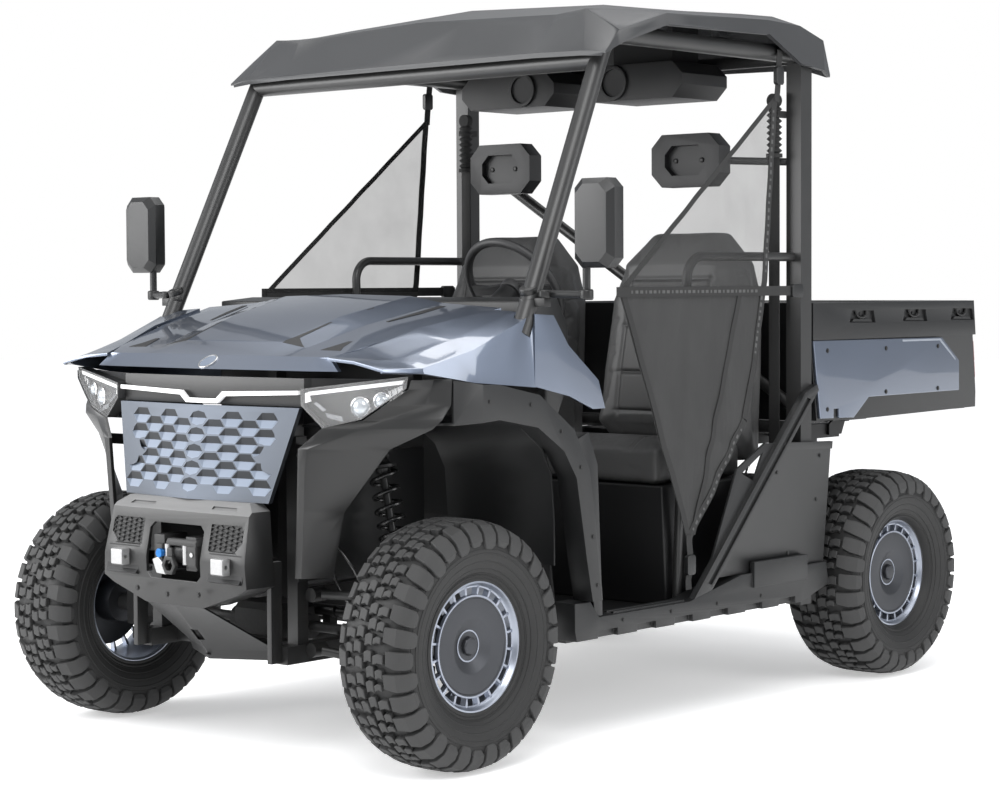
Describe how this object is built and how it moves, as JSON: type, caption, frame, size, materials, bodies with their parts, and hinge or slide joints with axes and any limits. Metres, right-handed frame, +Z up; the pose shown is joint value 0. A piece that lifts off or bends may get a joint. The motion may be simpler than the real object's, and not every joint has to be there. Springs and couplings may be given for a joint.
{
  "type": "side by side utility vehicle",
  "caption": "Open two-seat utility vehicle with a tubular cage, moulded roof, tilting cargo bed, steered front wheels and a hinged hood.",
  "frame": {"origin": "on the ground, at the middle of the vehicle's length and width", "axes": "+X to the vehicle's left, +Y to its rear, +Z up; the front faces -Y"},
  "size_m": [2.03, 3.132, 2.182],
  "materials": {
    "black_steel": "satin powder coat",
    "cage_steel": "satin powder coat",
    "roof_plastic": "moulded grain",
    "pad_plastic": "satin",
    "black_plastic": "moulded grain",
    "seat_vinyl": "stitched vinyl",
    "belt_webbing": "woven",
    "grille_paint": "satin",
    "lamp_lens": "clear over silver",
    "slate_paint": "metallic",
    "net_fabric": "mesh",
    "drive_casting": "painted casting",
    "tyre_rubber": "matte",
    "rim_metal": "satin",
    "tail_lens": "red",
    "strut_chrome": "bright"
  },
  "bodies": {
    "chassis": {"frame_rails": "black_steel", "frame_crossmembers": "black_steel", "frame_posts": "black_steel", "suspension_brackets": "black_steel", "cage_side_tubes": "cage_steel", "cage_rear_posts": "cage_steel", "cage_cross_bars": "cage_steel", "roof": "roof_plastic", "overhead_pods": "pad_plastic", "floor_tub": "black_plastic", "dash": "black_plastic", "driver_controls": "black_plastic", "seat_base": "black_plastic", "seat_cushions": "seat_vinyl", "seat_backs": "seat_vinyl", "headrests": "pad_plastic", "belts": "belt_webbing", "grille_panel": "grille_paint", "headlamps": "lamp_lens", "nose_fascia": "black_plastic", "bumper": "black_plastic", "skid_plate": "black_steel", "winch": "black_steel", "front_fenders": "slate_paint", "front_arches": "black_plastic", "side_sills": "black_plastic", "rear_side_panels": "black_plastic", "mirrors": "pad_plastic", "side_nets": "net_fabric", "power_unit": "drive_casting", "final_drives": "drive_casting", "suspension_arms": "black_steel", "shock_absorbers": "black_steel", "rear_uprights": "drive_casting"},
    "knuckle_left": {"knuckle_left": "drive_casting"},
    "knuckle_right": {"knuckle_right": "drive_casting"},
    "wheel_fl": {"tyre_fl": "tyre_rubber", "rim_fl": "rim_metal"},
    "wheel_fr": {"tyre_fr": "tyre_rubber", "rim_fr": "rim_metal"},
    "wheel_rl": {"tyre_rl": "tyre_rubber", "rim_rl": "rim_metal"},
    "wheel_rr": {"tyre_rr": "tyre_rubber", "rim_rr": "rim_metal"},
    "steering_wheel": {"steering_wheel": "pad_plastic"},
    "steering_rack": {"steering_rack": "black_steel"},
    "hood": {"hood": "slate_paint"},
    "bed": {"bed_tub": "black_plastic", "bed_side_panels": "slate_paint", "tail_lamps": "tail_lens"},
    "tailgate": {"tailgate": "black_plastic"},
    "strut_body": {"strut_body": "black_steel"},
    "strut_rod": {"strut_rod": "strut_chrome"}
  },
  "joints": [
    {"name": "steer_left", "type": "hinge", "parent": "chassis", "child": "knuckle_left", "pos_m": [0.6, -1.155, 0.343], "axis": [0, 0, 1], "range_deg": [-30, 30]},
    {"name": "steer_right", "type": "hinge", "parent": "chassis", "child": "knuckle_right", "pos_m": [-0.6, -1.155, 0.343], "axis": [0, 0, 1], "range_deg": [-30, 30]},
    {"name": "rack_slide", "type": "slide", "parent": "chassis", "child": "steering_rack", "axis": [1, 0, 0], "range_m": [-0.0555, 0.0555]},
    {"name": "steering_wheel_turn", "type": "hinge", "parent": "chassis", "child": "steering_wheel", "pos_m": [0.33, -0.47, 1.3], "axis": [0, 0.8387, 0.5446], "range_deg": [-271, 271]},
    {"name": "spin_fl", "type": "hinge", "parent": "knuckle_left", "child": "wheel_fl", "pos_m": [0.695, -1.155, 0.343], "axis": [1, 0, 0], "continuous": true},
    {"name": "spin_fr", "type": "hinge", "parent": "knuckle_right", "child": "wheel_fr", "pos_m": [-0.695, -1.155, 0.343], "axis": [1, 0, 0], "continuous": true},
    {"name": "spin_rl", "type": "hinge", "parent": "chassis", "child": "wheel_rl", "pos_m": [0.675, 0.965, 0.343], "axis": [1, 0, 0], "continuous": true},
    {"name": "spin_rr", "type": "hinge", "parent": "chassis", "child": "wheel_rr", "pos_m": [-0.675, 0.965, 0.343], "axis": [1, 0, 0], "continuous": true},
    {"name": "hood_lift", "type": "hinge", "parent": "chassis", "child": "hood", "pos_m": [0, -0.858, 1.238], "axis": [-1, 0, 0], "range_deg": [0, 45]},
    {"name": "bed_tilt", "type": "hinge", "parent": "chassis", "child": "bed", "pos_m": [0, 1.33, 0.84], "axis": [-1, 0, 0], "range_deg": [0, 45]},
    {"name": "tailgate_drop", "type": "hinge", "parent": "bed", "child": "tailgate", "pos_m": [0, 1.532, 0.874], "axis": [-1, 0, 0], "range_deg": [0, 90]},
    {"name": "strut_swing", "type": "hinge", "parent": "chassis", "child": "strut_body", "pos_m": [0.17, 0.79, 0.35], "axis": [1, 0, 0], "range_deg": [-1, 4]},
    {"name": "strut_slide", "type": "slide", "parent": "strut_body", "child": "strut_rod", "axis": [0, 0.4619, 0.8869], "range_m": [0, 0.2225]}
  ],
  "couplings": [
    {"joint": "steer_right", "follows": "steer_left", "ratio": 1},
    {"joint": "rack_slide", "follows": "steer_left", "m_per_rad": -0.105},
    {"joint": "steering_wheel_turn", "follows": "steer_left", "ratio": 9},
    {"joint": "strut_swing", "follows": "bed_tilt", "ratio": 0.07},
    {"joint": "strut_slide", "follows": "bed_tilt", "m_per_rad": 0.2813}
  ]
}
